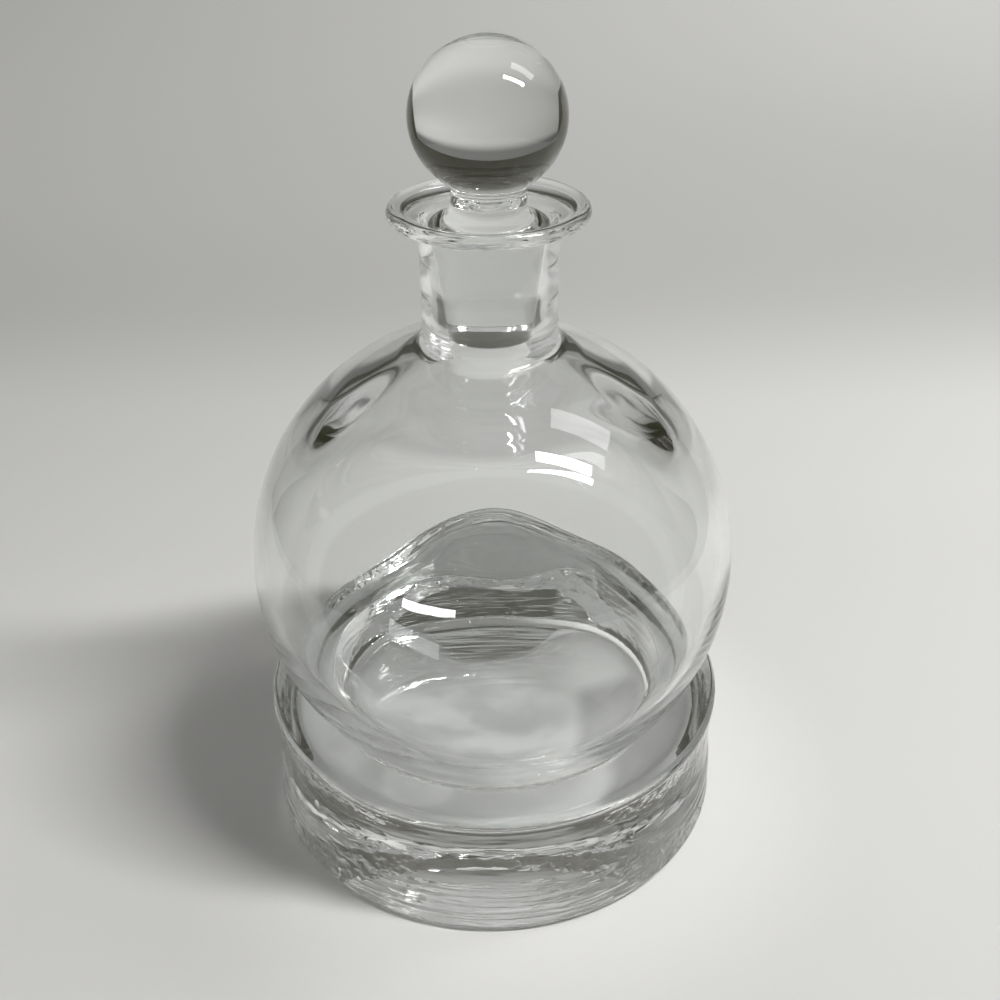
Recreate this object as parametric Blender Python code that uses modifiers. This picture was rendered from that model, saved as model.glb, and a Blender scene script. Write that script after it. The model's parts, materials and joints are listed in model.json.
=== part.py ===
"""Round glass decanter on a heavy cased foot, closed by a solid ball stopper.

Metres, +Z up. The origin is the centre of the flat underside of the foot, on the axis that every
form is turned about. The body is one blown piece: globe, neck, flared lip and foot, all round one
open cavity. The stopper is one solid piece: ball, stem and tapered plug. It lifts straight up.
"""
import math

import bmesh
import bpy

# Lengths of the stopper, in metres
BALL_RADIUS = 0.01935
BALL_HALF_HEIGHT = 0.0186
BALL_FOOT_RISE = 0.00425
STEM_RADIUS = 0.0096
STEM_LENGTH = 0.0006
COLLAR_LENGTH = 0.00405
COLLAR_RADIUS = 0.0113
PLUG_SHOULDER_LENGTH = 0.0018
PLUG_TOP_ROUNDING = 0.0010
PLUG_TOP_RADIUS = 0.0152
PLUG_LENGTH = 0.0286
PLUG_END_RADIUS = 0.0116
PLUG_END_ROUNDING = 0.0018
PLUG_CLEARANCE = 0.0003
PLUG_SEAT_DEPTH = 0.0036

# Lengths of the blown body, in metres
GLOBE_RADIUS = 0.068
GLOBE_CENTRE_HEIGHT = 0.0831
WALL_THICKNESS = 0.0033
SHOULDER_WALL_THICKNESS = 0.0073
FLOOR_THICKNESS = 0.0204
FOOT_INSET = 0.0001
FOOT_WAIST_DEPTH = 0.0011
FOOT_WAIST_DROP = 0.0080
FOOT_EDGE_ROUNDING = 0.0025
RIM_INSET = 0.0006
RIM_ROUNDING = 0.0014
LEDGE_HEIGHT = 0.0380
LEDGE_RISE = 0.0007
JUNCTION_ROUNDING = 0.0010
NECK_WALL_THICKNESS = 0.0022
NECK_LENGTH = 0.03505
NECK_FLARE_LENGTH = 0.0036
NECK_FOOT_ROUNDING = 0.0040
SHOULDER_ROUNDING = 0.0025
LIP_OVERHANG = 0.0078
LIP_ROUNDING = 0.0019

# Angles on the turned curves, in degrees above the horizontal
LIP_INNER_ANGLE = 140.0
LIP_UNDER_ANGLE = -62.0
RIM_INNER_ANGLE = 120.0
JUNCTION_ANGLE = -125.0
BALL_FOOT_ANGLE = -57.5
COLLAR_ANGLE = -75.0
PLUG_SHOULDER_ANGLE = -15.0

# Pull of the curve handles, as shares of the distance between a curve's ends
MOUTH_CURVE_SHARES = (0.45, 0.35)
UNDER_LIP_CURVE_SHARES = (0.30, 0.35)
PLUG_SHOULDER_CURVE_SHARES = (0.35, 0.35)
BALL_FOOT_CURVE_SHARES = (0.40, 0.40)
JUNCTION_CURVE_SHARES = (0.45, 0.45)
SIDE_CURVE_SHARES = (0.40, 0.40)

# Fineness of the turned surfaces
STEPS_ROUND = 60
GLOBE_UPPER_STEPS = 14
GLOBE_LOWER_STEPS = 8
CAVITY_LOWER_STEPS = 12
CAVITY_UPPER_STEPS = 10
BALL_STEPS = 18
LIP_STEPS = 8
RIM_STEPS = 5
CURVE_STEPS = 5
LEDGE_STEPS = 4
ROUNDING_STEPS = 3
BORE_FOOT_ROUNDS = 6
MERGE_DISTANCE = 0.00001

# Radii and heights that follow from the lengths above
FOOT_RADIUS = GLOBE_RADIUS - FOOT_INSET
FOOT_WAIST_RADIUS = FOOT_RADIUS - FOOT_WAIST_DEPTH
FOOT_WAIST_HEIGHT = LEDGE_HEIGHT - FOOT_WAIST_DROP
RIM_RADIUS = GLOBE_RADIUS - RIM_INSET
RIM_TOP_HEIGHT = LEDGE_HEIGHT + RIM_ROUNDING
NECK_RADIUS = PLUG_TOP_RADIUS + PLUG_CLEARANCE + NECK_WALL_THICKNESS
SHOULDER_HEIGHT = GLOBE_CENTRE_HEIGHT + math.sqrt(GLOBE_RADIUS**2 - NECK_RADIUS**2)
LIP_RADIUS = NECK_RADIUS + LIP_OVERHANG
LIP_HEIGHT = SHOULDER_HEIGHT + NECK_LENGTH
NECK_FLARE_START_HEIGHT = LIP_HEIGHT - NECK_FLARE_LENGTH
PLUG_TOP_HEIGHT = LIP_HEIGHT - PLUG_SEAT_DEPTH
PLUG_END_HEIGHT = PLUG_TOP_HEIGHT - PLUG_LENGTH
COLLAR_FOOT_HEIGHT = PLUG_TOP_HEIGHT + PLUG_SHOULDER_LENGTH
STEM_FOOT_HEIGHT = COLLAR_FOOT_HEIGHT + COLLAR_LENGTH
STEM_TOP_HEIGHT = STEM_FOOT_HEIGHT + STEM_LENGTH
BALL_FOOT_DROP = -BALL_HALF_HEIGHT * math.sin(math.radians(BALL_FOOT_ANGLE))
BALL_CENTRE_HEIGHT = STEM_TOP_HEIGHT + BALL_FOOT_RISE + BALL_FOOT_DROP

SHARP_ANGLE = math.radians(35.0)

BODY_GLASS = ("clear body glass", (0.93, 0.95, 0.94, 1.0), 0.03)
STOPPER_GLASS = ("clear stopper glass", (0.92, 0.94, 0.92, 1.0), 0.02)


def clear_scene():
    """Start from an empty file, so that only this part is in it."""
    for item in list(bpy.data.objects):
        bpy.data.objects.remove(item, do_unlink=True)


def arc(centre, radii, start_angle, end_angle, steps):
    """Points on part of an ellipse in the profile plane, both ends included."""
    points = []
    for step in range(steps + 1):
        angle = math.radians(start_angle + (end_angle - start_angle) * step / steps)
        radius = centre[0] + radii[0] * math.cos(angle)
        height = centre[1] + radii[1] * math.sin(angle)
        points.append((radius, height))
    return points


def curve(start, start_angle, end, end_angle, shares, steps):
    """Points on a smooth curve that leaves start and reaches end in the given directions."""
    span = math.dist(start, end)
    leave = math.radians(start_angle)
    reach = math.radians(end_angle)
    first = (start[0] + shares[0] * span * math.cos(leave), start[1] + shares[0] * span * math.sin(leave))
    second = (end[0] - shares[1] * span * math.cos(reach), end[1] - shares[1] * span * math.sin(reach))
    points = []
    for step in range(steps + 1):
        along = step / steps
        back = 1 - along
        weights = (back**3, 3 * back**2 * along, 3 * back * along**2, along**3)
        radius = sum(w * p[0] for w, p in zip(weights, (start, first, second, end)))
        height = sum(w * p[1] for w, p in zip(weights, (start, first, second, end)))
        points.append((radius, height))
    return points


def rounded_corner(before, corner, after, rounding, steps):
    """Points of the circular arc that rounds the corner between two straight runs."""
    to_before = unit(corner, before)
    to_after = unit(corner, after)
    half_angle = math.acos(to_before[0] * to_after[0] + to_before[1] * to_after[1]) / 2
    setback = rounding / math.tan(half_angle)
    reach = rounding / math.sin(half_angle)
    middle = unit((0, 0), (to_before[0] + to_after[0], to_before[1] + to_after[1]))
    centre = (corner[0] + reach * middle[0], corner[1] + reach * middle[1])
    first = (corner[0] + setback * to_before[0], corner[1] + setback * to_before[1])
    last = (corner[0] + setback * to_after[0], corner[1] + setback * to_after[1])
    start_angle = math.degrees(math.atan2(first[1] - centre[1], first[0] - centre[0]))
    end_angle = math.degrees(math.atan2(last[1] - centre[1], last[0] - centre[0]))
    turn = (end_angle - start_angle + 180) % 360 - 180
    return arc(centre, (rounding, rounding), start_angle, start_angle + turn, steps)


def unit(start, end):
    """Direction from one profile point to another, one long."""
    length = math.dist(start, end)
    return ((end[0] - start[0]) / length, (end[1] - start[1]) / length)


def plug_radius_at(height):
    """Radius of the tapered plug at a height, on its straight side carried on both ways."""
    share = (height - PLUG_END_HEIGHT) / (PLUG_TOP_HEIGHT - PLUG_END_HEIGHT)
    return PLUG_END_RADIUS + share * (PLUG_TOP_RADIUS - PLUG_END_RADIUS)


def plug_taper():
    """Angle between the plug's side and the axis."""
    return math.atan((PLUG_TOP_RADIUS - PLUG_END_RADIUS) / (PLUG_TOP_HEIGHT - PLUG_END_HEIGHT))


def bore_radius_at(height):
    """Radius of the neck's bore, which follows the plug at its clearance."""
    return plug_radius_at(height) + PLUG_CLEARANCE / math.cos(plug_taper())


def globe_height(radius):
    """Height of the upper half of the globe's outside, at a distance from the axis."""
    return GLOBE_CENTRE_HEIGHT + math.sqrt(GLOBE_RADIUS**2 - radius**2)


def globe_angle(height):
    """Angle above the horizontal of a point on the globe's outside, from its height."""
    return math.degrees(math.asin((height - GLOBE_CENTRE_HEIGHT) / GLOBE_RADIUS))


def bore_foot_on(radius, rise):
    """Point where the bore, carried on downwards, comes out through the cavity's upper curve."""
    height = PLUG_END_HEIGHT
    for _ in range(BORE_FOOT_ROUNDS):
        height = GLOBE_CENTRE_HEIGHT + rise * math.sqrt(1 - (bore_radius_at(height) / radius) ** 2)
    return bore_radius_at(height), height


def cavity_profile():
    """Inside of the globe and the bore, from the middle of the cavity's floor up to the plug's top."""
    centre = (0, GLOBE_CENTRE_HEIGHT)
    radius = GLOBE_RADIUS - WALL_THICKNESS
    depth = GLOBE_CENTRE_HEIGHT - FLOOR_THICKNESS
    rise = GLOBE_RADIUS - SHOULDER_WALL_THICKNESS
    bore_foot = bore_foot_on(radius, rise)
    last_angle = math.degrees(math.acos((bore_foot[0] + 2 * SHOULDER_ROUNDING) / radius))
    lower = arc(centre, (radius, depth), -90, 0, CAVITY_LOWER_STEPS)
    upper = arc(centre, (radius, rise), 0, last_angle, CAVITY_UPPER_STEPS)
    bore_top = (bore_radius_at(PLUG_TOP_HEIGHT), PLUG_TOP_HEIGHT)
    corner = rounded_corner(upper[-1], bore_foot, bore_top, SHOULDER_ROUNDING, ROUNDING_STEPS)
    return lower + upper[1:] + corner + [bore_top]


def lip_profile():
    """Mouth, rounded lip and the flare under it, down to the neck's straight side."""
    centre = (LIP_RADIUS - LIP_ROUNDING, LIP_HEIGHT)
    roll = arc(centre, (LIP_ROUNDING, LIP_ROUNDING), LIP_INNER_ANGLE, LIP_UNDER_ANGLE, LIP_STEPS)
    bore_top = (bore_radius_at(PLUG_TOP_HEIGHT), PLUG_TOP_HEIGHT)
    bore_angle = 90 - math.degrees(plug_taper())
    mouth = curve(bore_top, bore_angle, roll[0], LIP_INNER_ANGLE - 90, MOUTH_CURVE_SHARES, CURVE_STEPS)
    neck_top = (NECK_RADIUS, NECK_FLARE_START_HEIGHT)
    under = curve(roll[-1], LIP_UNDER_ANGLE - 90, neck_top, -90, UNDER_LIP_CURVE_SHARES, CURVE_STEPS)
    return mouth[1:-1] + roll + under[1:]


def shoulder_and_globe_profile():
    """Corner where the neck meets the globe, then the globe down to the foot's ledge."""
    corner = (NECK_RADIUS, SHOULDER_HEIGHT)
    outward = NECK_RADIUS + NECK_FOOT_ROUNDING
    after = (outward, globe_height(outward))
    above = (NECK_RADIUS, NECK_FLARE_START_HEIGHT)
    shoulder = rounded_corner(above, corner, after, NECK_FOOT_ROUNDING, CURVE_STEPS)
    start_angle = globe_angle(after[1])
    end_angle = globe_angle(LEDGE_HEIGHT + JUNCTION_ROUNDING)
    centre = (0, GLOBE_CENTRE_HEIGHT)
    radii = (GLOBE_RADIUS, GLOBE_RADIUS)
    upper = arc(centre, radii, start_angle, 0, GLOBE_UPPER_STEPS)
    lower = arc(centre, radii, 0, end_angle, GLOBE_LOWER_STEPS)
    return shoulder + upper + lower[1:]


def ledge_profile(globe_end):
    """Top of the foot: the rounded corner against the globe, a shallow dish and the raised rim."""
    rim_centre = (RIM_RADIUS - RIM_ROUNDING, RIM_TOP_HEIGHT - RIM_ROUNDING)
    rim = arc(rim_centre, (RIM_ROUNDING, RIM_ROUNDING), RIM_INNER_ANGLE, 0, RIM_STEPS)
    ledge_start = (globe_end[0] + JUNCTION_ROUNDING, LEDGE_HEIGHT)
    bend = curve(globe_end, JUNCTION_ANGLE, ledge_start, 0, JUNCTION_CURVE_SHARES, ROUNDING_STEPS)
    dish_end = (rim[0][0] - RIM_ROUNDING, LEDGE_HEIGHT + LEDGE_RISE)
    dish = curve(ledge_start, 0, dish_end, RIM_INNER_ANGLE - 90, SIDE_CURVE_SHARES, LEDGE_STEPS)
    return bend[1:] + dish[1:] + rim


def foot_profile():
    """Side of the foot, a little waisted under the rim, its rounded edge and the flat underside."""
    rim_side = (RIM_RADIUS, RIM_TOP_HEIGHT - RIM_ROUNDING)
    waist = (FOOT_WAIST_RADIUS, FOOT_WAIST_HEIGHT)
    edge_start = (FOOT_RADIUS, FOOT_EDGE_ROUNDING)
    upper = curve(rim_side, -90, waist, -90, SIDE_CURVE_SHARES, ROUNDING_STEPS)
    lower = curve(waist, -90, edge_start, -90, SIDE_CURVE_SHARES, ROUNDING_STEPS)
    edge_centre = (FOOT_RADIUS - FOOT_EDGE_ROUNDING, FOOT_EDGE_ROUNDING)
    edge = arc(edge_centre, (FOOT_EDGE_ROUNDING, FOOT_EDGE_ROUNDING), 0, -90, ROUNDING_STEPS)
    return upper[1:] + lower[1:-1] + edge + [(0, 0)]


def body_profile():
    """Whole outline of the blown body, from the cavity's floor over the lip to the underside."""
    globe = shoulder_and_globe_profile()
    return cavity_profile() + lip_profile() + globe + ledge_profile(globe[-1]) + foot_profile()


def collar_profile(stem_foot, plug_top):
    """Collar that widens below the stem, the plug's sloping shoulder and its rounded edge."""
    collar_foot = (COLLAR_RADIUS, COLLAR_FOOT_HEIGHT)
    edge_start = (PLUG_TOP_RADIUS - PLUG_TOP_ROUNDING, PLUG_TOP_HEIGHT + PLUG_TOP_ROUNDING)
    side_angle = -90 - math.degrees(plug_taper())
    shares = PLUG_SHOULDER_CURVE_SHARES
    collar = curve(stem_foot, -90, collar_foot, COLLAR_ANGLE, SIDE_CURVE_SHARES, ROUNDING_STEPS)
    slope = curve(collar_foot, COLLAR_ANGLE, edge_start, PLUG_SHOULDER_ANGLE, shares, CURVE_STEPS)
    edge = curve(edge_start, PLUG_SHOULDER_ANGLE, plug_top, side_angle, SIDE_CURVE_SHARES, ROUNDING_STEPS)
    return collar + slope[1:] + edge[1:]


def stopper_profile():
    """Whole outline of the stopper, from the top of the ball down to the end of the plug."""
    centre = (0, BALL_CENTRE_HEIGHT)
    ball = arc(centre, (BALL_RADIUS, BALL_HALF_HEIGHT), 90, BALL_FOOT_ANGLE, BALL_STEPS)
    stem_top = (STEM_RADIUS, STEM_TOP_HEIGHT)
    stem_foot = (STEM_RADIUS, STEM_FOOT_HEIGHT)
    into_stem = curve(ball[-1], BALL_FOOT_ANGLE - 90, stem_top, -90, BALL_FOOT_CURVE_SHARES, ROUNDING_STEPS)
    end_corner = (PLUG_END_RADIUS, PLUG_END_HEIGHT)
    plug_top = (PLUG_TOP_RADIUS, PLUG_TOP_HEIGHT)
    end = rounded_corner(plug_top, end_corner, (0, PLUG_END_HEIGHT), PLUG_END_ROUNDING, ROUNDING_STEPS)
    return ball + into_stem[1:] + collar_profile(stem_foot, plug_top) + end + [(0, PLUG_END_HEIGHT)]


def glass(name, colour, roughness):
    """Clear glass of one slot."""
    material = bpy.data.materials.new(name)
    material.use_nodes = True
    shader = material.node_tree.nodes["Principled BSDF"]
    shader.inputs["Base Color"].default_value = colour
    shader.inputs["Roughness"].default_value = roughness
    shader.inputs["Metallic"].default_value = 0
    shader.inputs["Transmission Weight"].default_value = 1
    shader.inputs["IOR"].default_value = 1.5
    return material


def turned(name, profile, material, collection):
    """Turn a profile, drawn out to +X from the axis, once round the upright axis."""
    drawing = bmesh.new()
    corners = [drawing.verts.new((radius, 0, height)) for radius, height in profile]
    for first, second in zip(corners, corners[1:]):
        drawing.edges.new((first, second))
    mesh = bpy.data.meshes.new(name)
    drawing.to_mesh(mesh)
    drawing.free()
    piece = bpy.data.objects.new(name, mesh)
    mesh.materials.append(material)
    collection.objects.link(piece)
    turn = piece.modifiers.new("turn", "SCREW")
    turn.axis = "Z"
    turn.angle = 2 * math.pi
    turn.steps = STEPS_ROUND
    turn.render_steps = STEPS_ROUND
    turn.use_merge_vertices = True
    turn.merge_threshold = MERGE_DISTANCE
    turn.use_smooth_shade = True
    return piece


def finish(piece):
    """Apply the turning, so that the shading can follow the edges of the finished surface."""
    for other in bpy.context.view_layer.objects:
        other.select_set(other == piece)
    bpy.context.view_layer.objects.active = piece
    bpy.ops.object.modifier_apply(modifier="turn")
    piece.data.shade_smooth()
    piece.data.set_sharp_from_angle(angle=SHARP_ANGLE)


def build():
    """Make the two pieces of glass."""
    clear_scene()
    collection = bpy.data.collections.new("Decanter")
    bpy.context.scene.collection.children.link(collection)
    body = turned("decanter_body", body_profile(), glass(*BODY_GLASS), collection)
    stopper = turned("stopper", stopper_profile(), glass(*STOPPER_GLASS), collection)
    finish(body)
    finish(stopper)


build()
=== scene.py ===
# %% [markdown]
# # A round glass decanter with a ball stopper
# This notebook dresses a measured model of a decanter: clear glass, blown by hand, on a heavy foot,
# closed by a solid glass ball. Clear glass shows hardly anything of itself. What the eye reads is
# the room, bent by the glass, so the lesson has two halves: the exact form of every surface, with
# the small unevenness that hands leave, and a simple studio for the glass to look at.
#
# The first cell loads the measured model as a fixed frame. Everything is in metres, +Z is up, and
# the axis that the glass was turned about is the Z axis.

# %% Load the measured model
import json
import math

import bpy
from mathutils import Matrix, Vector, noise

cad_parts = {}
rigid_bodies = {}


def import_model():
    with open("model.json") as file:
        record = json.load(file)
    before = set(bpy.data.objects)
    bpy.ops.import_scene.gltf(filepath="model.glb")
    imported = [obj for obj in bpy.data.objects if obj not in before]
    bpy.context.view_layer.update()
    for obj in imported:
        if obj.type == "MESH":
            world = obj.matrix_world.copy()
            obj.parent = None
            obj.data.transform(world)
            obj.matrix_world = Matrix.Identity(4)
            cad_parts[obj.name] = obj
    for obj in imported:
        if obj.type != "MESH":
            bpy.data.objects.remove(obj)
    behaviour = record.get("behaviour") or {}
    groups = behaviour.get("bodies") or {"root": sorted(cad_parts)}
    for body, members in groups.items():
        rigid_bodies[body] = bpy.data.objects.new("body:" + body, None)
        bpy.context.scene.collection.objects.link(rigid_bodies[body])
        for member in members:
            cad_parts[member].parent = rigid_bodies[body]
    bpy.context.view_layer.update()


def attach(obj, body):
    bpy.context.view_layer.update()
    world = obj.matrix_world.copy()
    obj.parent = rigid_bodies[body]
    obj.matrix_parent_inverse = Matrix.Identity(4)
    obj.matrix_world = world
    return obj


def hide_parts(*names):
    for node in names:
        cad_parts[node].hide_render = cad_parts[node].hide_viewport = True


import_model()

# %% [markdown]
# ## How the picture is made
# The Standard view keeps colours as they are written. Glass needs many bounces: a ray crosses up to
# eight surfaces, and inside the thick foot it is mirrored many times more before it gets out. Such
# mirroring counts as glossy, so all three kinds get the same number. Every ray that runs out of
# bounces would turn black. The denoiser cleans what few samples leave.

# %% Picture settings
GLASS_BOUNCES = 40

scene = bpy.context.scene
scene.view_settings.view_transform = "Standard"
scene.cycles.use_denoising = True
scene.cycles.max_bounces = GLASS_BOUNCES
scene.cycles.transmission_bounces = GLASS_BOUNCES
scene.cycles.glossy_bounces = GLASS_BOUNCES
scene.cycles.diffuse_bounces = 4
scene.cycles.transparent_max_bounces = 16
scene.cycles.caustics_refractive = True
scene.cycles.caustics_reflective = True
scene.cycles.sample_clamp_indirect = 40
print("bounces:", scene.cycles.max_bounces)

# %% [markdown]
# ## The camera
# The camera stands where the photograph was taken: a little above the stopper, a foot away, looking
# down. The outlines of the rings of glass gave its place and its slight turn and tilt, which are in
# radians. A camera looks along its own -Z, so its matrix is built from three directions.

# %% Camera
CAMERA_PLACE = Vector((0.0, -0.300736, 0.284812))
CAMERA_PITCH = 0.55262
CAMERA_YAW = 0.00739
CAMERA_ROLL = -0.00763
LENS = 45.0


def camera_matrix(place, pitch, yaw, roll):
    """Matrix of a camera at a place that looks down by pitch, turned by yaw and tilted by roll."""
    level = math.cos(pitch)
    ahead = Vector((math.sin(yaw) * level, math.cos(yaw) * level, -math.sin(pitch)))
    flat_right = Vector((math.cos(yaw), -math.sin(yaw), 0.0))
    flat_up = flat_right.cross(ahead)
    right = math.cos(roll) * flat_right + math.sin(roll) * flat_up
    up = math.cos(roll) * flat_up - math.sin(roll) * flat_right
    matrix = Matrix((right, up, -ahead)).transposed().to_4x4()
    matrix.translation = place
    return matrix


camera_data = bpy.data.cameras.new("camera")
camera_data.sensor_width = 36.0
camera_data.lens = LENS
camera_data.clip_start = 0.01
camera = bpy.data.objects.new("camera", camera_data)
scene.collection.objects.link(camera)
camera.matrix_world = camera_matrix(CAMERA_PLACE, CAMERA_PITCH, CAMERA_YAW, CAMERA_ROLL)
scene.camera = camera
print("camera lens:", camera_data.lens, "mm")

# %% [markdown]
# ## Shader sums written as Python
# A material is a graph of small nodes. Wired by hand, a simple sum takes four nodes. The class below
# wraps one output socket, so that `a * b + 1` adds the Math nodes by itself. `Shader.node` makes any
# other node from its type, its settings and its inputs.

# %% Shader helpers
class Socket:
    """One output of a node, which can be used in sums."""

    def __init__(self, shader, output):
        self.shader = shader
        self.output = output

    def _math(self, operation, *values):
        return self.shader.node("ShaderNodeMath", {"operation": operation}, dict(enumerate(values)))

    def __add__(self, other):
        return self._math("ADD", self, other)

    def __radd__(self, other):
        return self._math("ADD", other, self)

    def __sub__(self, other):
        return self._math("SUBTRACT", self, other)

    def __rsub__(self, other):
        return self._math("SUBTRACT", other, self)

    def __mul__(self, other):
        return self._math("MULTIPLY", self, other)

    def __rmul__(self, other):
        return self._math("MULTIPLY", other, self)

    def __truediv__(self, other):
        return self._math("DIVIDE", self, other)

    def above(self, floor):
        """The value, but never less than floor."""
        return self._math("MAXIMUM", self, floor)

    def below(self, ceiling):
        """The value, but never more than ceiling."""
        return self._math("MINIMUM", self, ceiling)

    def root(self):
        """Square root."""
        return self._math("SQRT", self)

    def unsigned(self):
        """The value without its sign."""
        return self._math("ABSOLUTE", self)

    def rise(self, low, high):
        """Smooth step from 0 at low to 1 at high."""
        settings = {"interpolation_type": "SMOOTHSTEP"}
        values = {"Value": self, "From Min": low, "From Max": high}
        return self.shader.node("ShaderNodeMapRange", settings, values)


class Shader:
    """The node graph of one material or of the world."""

    def __init__(self, tree):
        self.tree = tree

    def node(self, kind, settings=None, values=None, output=0):
        """Add a node, set it up, fill its inputs with numbers, colours or sockets."""
        made = self.tree.nodes.new(kind)
        for name, value in (settings or {}).items():
            if name == "stops":
                self._stops(made.color_ramp, value)
            else:
                setattr(made, name, value)
        for name, value in (values or {}).items():
            if isinstance(value, Socket):
                self.tree.links.new(value.output, made.inputs[name])
            else:
                made.inputs[name].default_value = value
        return Socket(self, made.outputs[output])

    def _stops(self, ramp, stops):
        while len(ramp.elements) < len(stops):
            ramp.elements.new(1.0)
        for element, (place, colour) in zip(ramp.elements, stops):
            element.position = place
            element.color = (*colour, 1.0)

    def point(self):
        """Object coordinates as one vector."""
        return self.node("ShaderNodeTexCoord", output="Object")

    def place(self):
        """Object coordinates as three sockets."""
        split = self.node("ShaderNodeSeparateXYZ", values={0: self.point()})
        axes = split.output.node.outputs
        return Socket(self, axes[0]), Socket(self, axes[1]), Socket(self, axes[2])

    def vector(self, x, y, z):
        """Three sockets or numbers joined into one vector."""
        return self.node("ShaderNodeCombineXYZ", values={0: x, 1: y, 2: z})

    def cloud(self, point, scale, detail):
        """Soft noise between 0 and 1, read at a point."""
        values = {"Vector": point, "Scale": scale, "Detail": detail}
        return self.node("ShaderNodeTexNoise", values=values)

    def feed(self, name, value):
        """Link a socket to an input of the material's Principled shader."""
        self.tree.links.new(value.output, self.tree.nodes["Principled BSDF"].inputs[name])


def new_material(name, values):
    """A Principled material with plain values on its own sockets."""
    material = bpy.data.materials.new(name)
    material.use_nodes = True
    principled = material.node_tree.nodes["Principled BSDF"]
    for socket, value in values.items():
        principled.inputs[socket].default_value = value
    return material, Shader(material.node_tree)


print("shader helpers ready")

# %% [markdown]
# ## The sheet of paper
# The decanter stands on a wide sheet of pale paper that lies flat and then curves slowly up behind
# it. A sheet has edges, and a glass ball shows them: they are the corners of the bright shape in the
# stopper. The sheet starts as a grid. Each vertex is then laid at its place along the floor and up
# the curve, between two edges that a table gives: depth, left edge, right edge.
#
# Glass that touches the paper over its whole underside would let light straight through. Real glass
# always keeps a breath of air below it, so the paper lies a fraction of a millimetre lower.

# %% Paper
PAPER_EDGE = [
    (-0.75, -0.50, 0.52),
    (0.10, -0.40, 0.42),
    (0.245, -0.40, 0.49),
    (0.32, -0.405, 0.555),
    (0.545, -0.60, 0.746),
    (0.64, -0.69, 0.83),
    (0.85, -0.90, 1.02),
    (1.03, -1.08, 1.20),
    (1.15, -1.20, 1.32),
]
PAPER_BEND_START = 0.30
PAPER_BEND_RADIUS = 1.20
PAPER_BEND_DEGREES = 45
PAPER_STRIPS = 60
AIR_GAP = 0.0004


def deselect_all():
    """Leave nothing selected, because operators act on all that is."""
    for item in bpy.context.view_layer.objects:
        item.select_set(False)


def new_primitive(operator, name, **sizes):
    """Add one of Blender's primitives under a name and go into its edit mode."""
    deselect_all()
    operator(**sizes)
    piece = bpy.context.object
    piece.name = name
    piece.data.name = name
    bpy.ops.object.mode_set(mode="EDIT")
    return piece


def along_table(table, place):
    """Values between the rows of a table, for a place given in its first column."""
    for before, after in zip(table, table[1:]):
        if place <= after[0]:
            break
    share = min(1.0, max(0.0, (place - before[0]) / (after[0] - before[0])))
    return [low + share * (high - low) for low, high in zip(before[1:], after[1:])]


def paper_sheet():
    """Grid whose strips are laid along the floor and then up a wide curve."""
    piece = new_primitive(bpy.ops.mesh.primitive_grid_add, "paper_sheet",
                          x_subdivisions=2, y_subdivisions=PAPER_STRIPS, size=1.0)
    bpy.ops.object.mode_set(mode="OBJECT")
    front = PAPER_EDGE[0][0]
    flat = PAPER_BEND_START - front
    length = flat + math.radians(PAPER_BEND_DEGREES) * PAPER_BEND_RADIUS
    for corner in piece.data.vertices:
        run = (corner.co.y + 0.5) * length
        turn = max(0.0, run - flat) / PAPER_BEND_RADIUS
        depth = front + min(run, flat) + PAPER_BEND_RADIUS * math.sin(turn)
        left, right = along_table(PAPER_EDGE, depth)
        side = left + (corner.co.x + 0.5) * (right - left)
        corner.co = (side, depth, PAPER_BEND_RADIUS * (1.0 - math.cos(turn)) - AIR_GAP)
    piece.data.shade_smooth()
    return piece


paper = paper_sheet()
print("paper:", len(paper.data.polygons), "faces")

# %% [markdown]
# Paper is matt. Its own colour is a warm pale grey, and on it lies painted light and shade: a little
# darker to the left, brighter to the right and in front, as the lamps' light falls on the sheet. A
# table gives this painted tone by depth, for the left and the right side. Each side becomes a colour
# ramp, the material mixes the two across, and a faint cloud breaks up the evenness. High on the curve
# the sheet lies out of the light, so painted shade makes it darker there.

# %% Paper tones
# Painted light and shade: grey paper tones by depth, for the left and the right side.
PAPER_PAINTED_LIGHT_TONES = [
    (-0.10, 0.601, 0.687),
    (-0.04, 0.639, 0.701),
    (0.04, 0.636, 0.714),
    (0.12, 0.596, 0.724),
    (0.19, 0.581, 0.741),
    (0.27, 0.567, 0.709),
    (0.37, 0.502, 0.558),
    (0.50, 0.547, 0.531),
    (0.64, 0.571, 0.595),
    (0.78, 0.574, 0.676),
]
TONE_HALF_WIDTH = 0.36
CLOUD_SCALE = 3.0
CLOUD_CHANGE = 0.03
# Painted shade high on the curve: the heights where it starts and ends, and its tone.
HIGH_PAPER = (0.16, 0.26)
HIGH_PAINTED_SHADE = 0.20


def painted_light_ramp(shader, depth, column):
    """One column of the painted light and shade table as a smooth grey ramp over the depth."""
    first = PAPER_PAINTED_LIGHT_TONES[0][0]
    length = PAPER_PAINTED_LIGHT_TONES[-1][0] - first
    stops = [((row[0] - first) / length, (row[column],) * 3) for row in PAPER_PAINTED_LIGHT_TONES]
    ramp = shader.node("ShaderNodeValToRGB", {"stops": stops}, {0: (depth - first) / length})
    ramp.output.node.color_ramp.interpolation = "CARDINAL"
    return shader.node("ShaderNodeSeparateColor", values={0: ramp})


paper_material, shader = new_material(
    "pale paper", {"Roughness": 0.85, "Specular IOR Level": 0.2, "Emission Strength": 1.0})
x, y, z = shader.place()
left = painted_light_ramp(shader, y, 1)
right = painted_light_ramp(shader, y, 2)
width_values = {"Value": x, "From Min": -TONE_HALF_WIDTH, "From Max": TONE_HALF_WIDTH}
across = shader.node("ShaderNodeMapRange", values=width_values)
cloud = shader.cloud(shader.point(), CLOUD_SCALE, 2.0)
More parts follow.
